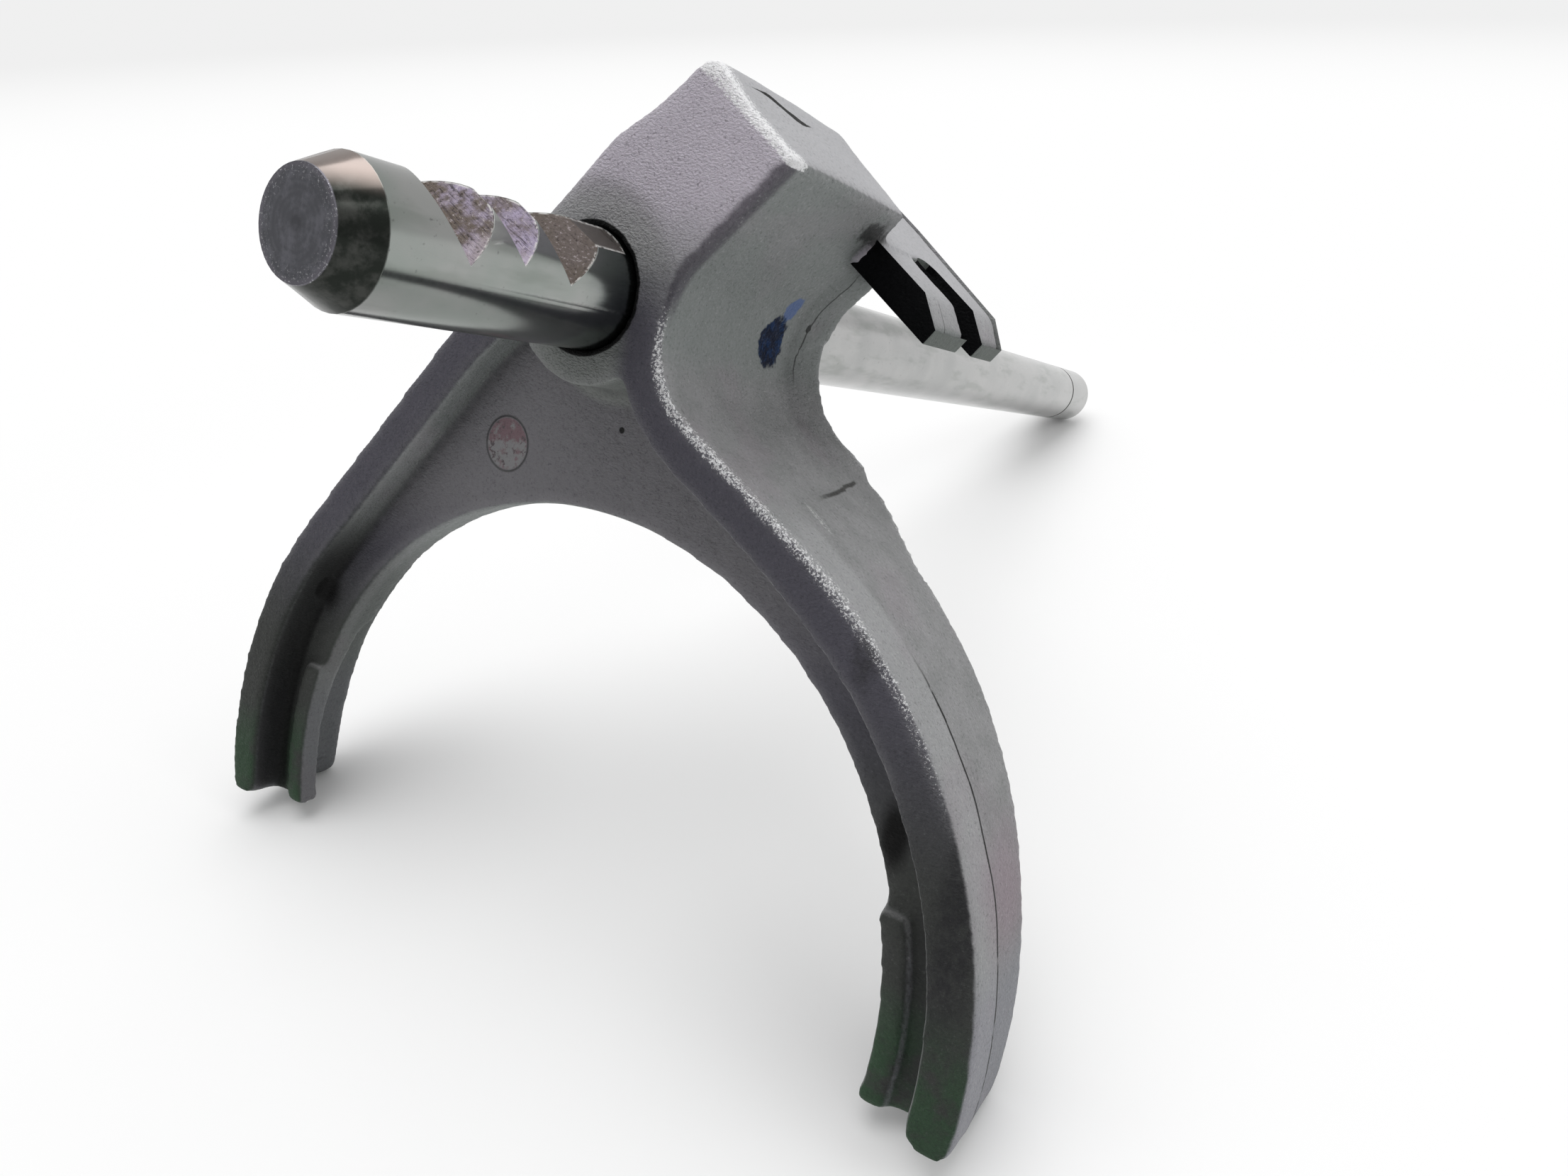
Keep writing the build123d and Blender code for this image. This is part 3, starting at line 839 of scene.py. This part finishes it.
def ridge_lift(local):
    """Upward move along the hub's ridge in millimetres, which gives back what the rounding took."""
    x, y, z = local.T
    from_ridge = np.hypot(x - RIDGE[0], z - RIDGE[2])
    return RIDGE_LIFT * ramp(from_ridge, 15.0, 0.0) * ramp(y, 124.0, 117.0)


def waves(local, scale, shift=(0, 0, 0)):
    """Noise at each point, from about -1 to 1."""
    return np.array([noise.noise(Vector(p) * scale + Vector(shift)) for p in local])


def casting_forms(local, facing):
    """Outward move of each point in millimetres: swells, roof crown, dish, torn corner, plate."""
    x, y, z = local.T
    down, height = (local - RIDGE) @ ROOF_SLOPE, (local - RIDGE) @ ROOF_NORMAL
    from_axis = np.hypot(x, z)
    on_roof = ramp(facing @ ROOF_NORMAL, 0.6, 0.95) * (height > -3)
    on_roof = on_roof * ramp(y, HUB_FRONT, 82.0) * ramp(y, 119.0, 98.0)
    crown = ROOF_CROWN * on_roof * np.sin(np.pi * np.clip(down / ROOF_WIDTH, 0, 1))
    swell = waves(local, 0.09) * LONG_SWELL + waves(local, 0.3, (7, 3, 1)) * SHORT_SWELL
    machined = (from_axis < 14.5) | on_pads(local)
    front = ramp(-facing[:, 1], 0.6, 0.9) * (y < 69.0)
    dish = -DISH_DEPTH * ramp(from_axis, 23.0, 19.0) * front * (z > -12) * (from_axis > 13.6)
    torn = np.exp(-(((local - TORN_CORNER) / TORN_SPREAD) ** 2).sum(1))
    tear = torn * (TORN_WAVE * waves(local, 0.7) - TORN_DEPTH)
    plate_side = (down > ROOF_WIDTH) & (height < -PLATE_DROP + 1.0) & (y > PLATE_FRONT - 1.0)
    plate = (y > HUB_BACK + 1.0) | plate_side
    return np.where(plate, -PLATE_SINK, np.where(machined, 0.0, swell) + crown + dish + tear)


# Bevel of the plate's edges, in metres, and the angle from which an edge is one of them
PLATE_BEVEL = 0.0005
SHARP_ANGLE = math.radians(25)


def slot_corner(middle, start):
    """Quarter turn of the slot's corner as (down the slope, Y), from a start in degrees."""
    down = SLOT_END + SLOT_CORNER
    turns = [math.radians(start + 15 * i) for i in range(7)]
    return [(down + SLOT_CORNER * math.cos(t), middle - SLOT_CORNER * math.sin(t)) for t in turns]


def plate_outline():
    """Outline of the plate as (down the slope, Y), with its slot."""
    return [
        (0, PLATE_FRONT), (PLATE_REACH, PLATE_FRONT), (PLATE_REACH, SLOT_LOW),
        *slot_corner(SLOT_LOW + SLOT_CORNER, 90), *slot_corner(SLOT_HIGH - SLOT_CORNER, 180),
        (PLATE_REACH, SLOT_HIGH), (PLATE_REACH, PLATE_BACK_TIP),
        (PLATE_BACK_BEND, PLATE_BACK), (0, PLATE_BACK),
    ]


def driver_plate():
    """Crisp plate over the remeshed one. The nose's cut leaves its upper side open."""
    top = RIDGE - PLATE_DROP * ROOF_NORMAL
    work = bmesh.new()
    rings = []
    for drop in (0.0, PLATE_THICKNESS):
        corners = [top + s * ROOF_SLOPE - drop * ROOF_NORMAL + (0, y, 0) for s, y in plate_outline()]
        rings.append([work.verts.new(row(*corner)) for corner in corners])
    upper, lower = rings
    work.faces.new(upper)
    work.faces.new(list(reversed(lower)))
    for i in range(len(upper)):
        j = (i + 1) % len(upper)
        work.faces.new((upper[j], upper[i], lower[i], lower[j]))
    cut_nose(work, top)
    bmesh.ops.recalc_face_normals(work, faces=work.faces[:])
    sharp = [e for e in work.edges if len(e.link_faces) == 2 and e.calc_face_angle(0) > SHARP_ANGLE]
    bmesh.ops.bevel(
        work, geom=sharp, offset=PLATE_BEVEL, segments=2, profile=0.6,
        affect="EDGES", clamp_overlap=True,
    )
    mesh = bpy.data.meshes.new("driver_plate")
    work.to_mesh(mesh)
    work.free()
    piece = bpy.data.objects.new("driver_plate", mesh)
    bpy.context.scene.collection.objects.link(piece)
    mesh.materials.append(casting("driver_plate", crisp=True))
    return piece


def cut_nose(work, top):
    """Takes the sloped corner off the plate's tip."""
    start = row(*(top + (PLATE_REACH - NOSE_LENGTH) * ROOF_SLOPE))
    end = row(*(top + PLATE_REACH * ROOF_SLOPE - NOSE_DROP * ROOF_NORMAL))
    outward = (end - start).cross(along).normalized()
    if outward.dot(REST.to_3x3() @ Vector(ROOF_NORMAL)) < 0:
        outward.negate()
    cut = bmesh.ops.bisect_plane(
        work, geom=work.verts[:] + work.edges[:] + work.faces[:],
        plane_co=start, plane_no=outward, clear_outer=True,
    )
    bmesh.ops.holes_fill(work, edges=[e for e in cut["geom_cut"] if isinstance(e, bmesh.types.BMEdge)])


for piece in (cast_fork(), driver_plate()):
    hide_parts("shift_fork")
    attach(piece, "root")

for name, made in (("shift_rod", rod_steel()), ("spring_pin", pin_steel())):
    frame["nodes"][name].data.materials.clear()
    frame["nodes"][name].data.materials.append(made)


# Places where the part stands on the floor, and the middle of what the camera sees of it
CONTACTS = ((100, 90, -151), (-100, 90, -151), (6, 415, -13))
FLOOR_MIDDLE = (20, 200, -90)
FLOOR_HALF = 20.0
FLOOR_DARK, FLOOR_LIGHT = (0.91, 0.91, 0.91), (0.93, 0.93, 0.93)
WHITE, FAR_WHITE = (1.0, 1.0, 1.0), (0.87, 0.87, 0.87)


def floor():
    """Pale floor, which the camera sees plain white away from the part."""
    mesh = bpy.data.meshes.new("floor")
    sides = ((-1, -1), (1, -1), (1, 1), (-1, 1))
    corners = [(x * FLOOR_HALF, y * FLOOR_HALF, 0) for x, y in sides]
    mesh.from_pydata(corners, [], [(0, 1, 2, 3)])
    piece = bpy.data.objects.new("floor", mesh)
    bpy.context.scene.collection.objects.link(piece)
    n = Nodes("pale_floor")
    cloud = n.noise(0.002, 3.0)
    n.finish(n.mix(n.step(cloud, 0.3, 0.7), FLOOR_DARK, FLOOR_LIGHT), roughness=0.6, metallic=0.0)
    away = n.distance(FLOOR_MIDDLE)
    contact = n.smaller(*(n.distance(place) for place in CONTACTS))
    tone = n.mix(n.step(away, 1500.0, 4000.0), WHITE, FAR_WHITE)
    share = n.step(away, 260.0, 540.0, 1.0, 0.36)
    seen_as_white(n, tone, n.times(share, n.step(contact, 5.0, 90.0)))
    mesh.materials.append(n.material)


def seen_as_white(n, tone, share):
    """Shows the tone itself to camera, mirror and glass rays, as far as the share says."""
    glow = n.tree.nodes.new("ShaderNodeEmission")
    n.link(tone, glow.inputs["Color"])
    path = n.tree.nodes.new("ShaderNodeLightPath")
    rays = ("Is Camera Ray", "Is Glossy Ray", "Is Transmission Ray")
    seen = n.larger(*(path.outputs[ray] for ray in rays))
    mixed = n.tree.nodes.new("ShaderNodeMixShader")
    n.link(n.times(seen, share), mixed.inputs[0])
    n.tree.links.new(n.shader.outputs[0], mixed.inputs[1])
    n.tree.links.new(glow.outputs[0], mixed.inputs[2])
    n.tree.links.new(mixed.outputs[0], n.out.inputs[0])


def area(name, place, aim, size, power):
    """Square soft box."""
    lamp = bpy.data.lights.new(name, "AREA")
    lamp.shape = "RECTANGLE"
    lamp.size = lamp.size_y = size
    lamp.energy = power
    piece = bpy.data.objects.new(name, lamp)
    piece.location = place
    piece.rotation_euler = (Vector(aim) - Vector(place)).to_track_quat("-Z", "Y").to_euler()
    bpy.context.scene.collection.objects.link(piece)


# Room: how bright its walls are, and how dark the side on which the photographer stood
DARK_SIDE = Vector((0.45, -0.85, 0.28)).normalized()
WALL_LEVEL = 0.72
DARK_LEVEL = 0.12


def room():
    """Pale room for the light, and plain white for the camera."""
    world = bpy.data.worlds.new("studio")
    world.use_nodes = True
    bpy.context.scene.world = world
    tree = world.node_tree
    direction = tree.nodes.new("ShaderNodeTexCoord").outputs["Generated"]
    toward = tree.nodes.new("ShaderNodeVectorMath")
    toward.operation = "DOT_PRODUCT"
    tree.links.new(direction, toward.inputs[0])
    toward.inputs[1].default_value = DARK_SIDE
    level = tree.nodes.new("ShaderNodeMapRange")
    level.interpolation_type = "SMOOTHSTEP"
    tree.links.new(toward.outputs["Value"], level.inputs["Value"])
    level.inputs["From Min"].default_value = 0.6
    level.inputs["From Max"].default_value = 0.93
    level.inputs["To Min"].default_value = WALL_LEVEL
    level.inputs["To Max"].default_value = DARK_LEVEL
    path = tree.nodes.new("ShaderNodeLightPath")
    seen = tree.nodes.new("ShaderNodeMath")
    seen.operation = "MAXIMUM"
    tree.links.new(path.outputs["Is Camera Ray"], seen.inputs[0])
    tree.links.new(level.outputs[0], seen.inputs[1])
    tree.nodes["Background"].inputs["Color"].default_value = (1, 1, 1, 1)
    tree.links.new(seen.outputs[0], tree.nodes["Background"].inputs["Strength"])


floor()
area("softbox_top", place=(-0.15, 0.05, 1.3), aim=(0, 0, 0.05), size=1.2, power=9.3)
area("softbox_right", place=(1.1, 0.25, 1.0), aim=(0, 0, 0.08), size=0.7, power=2.7)
room()

bpy.context.scene.view_settings.view_transform = "Standard"
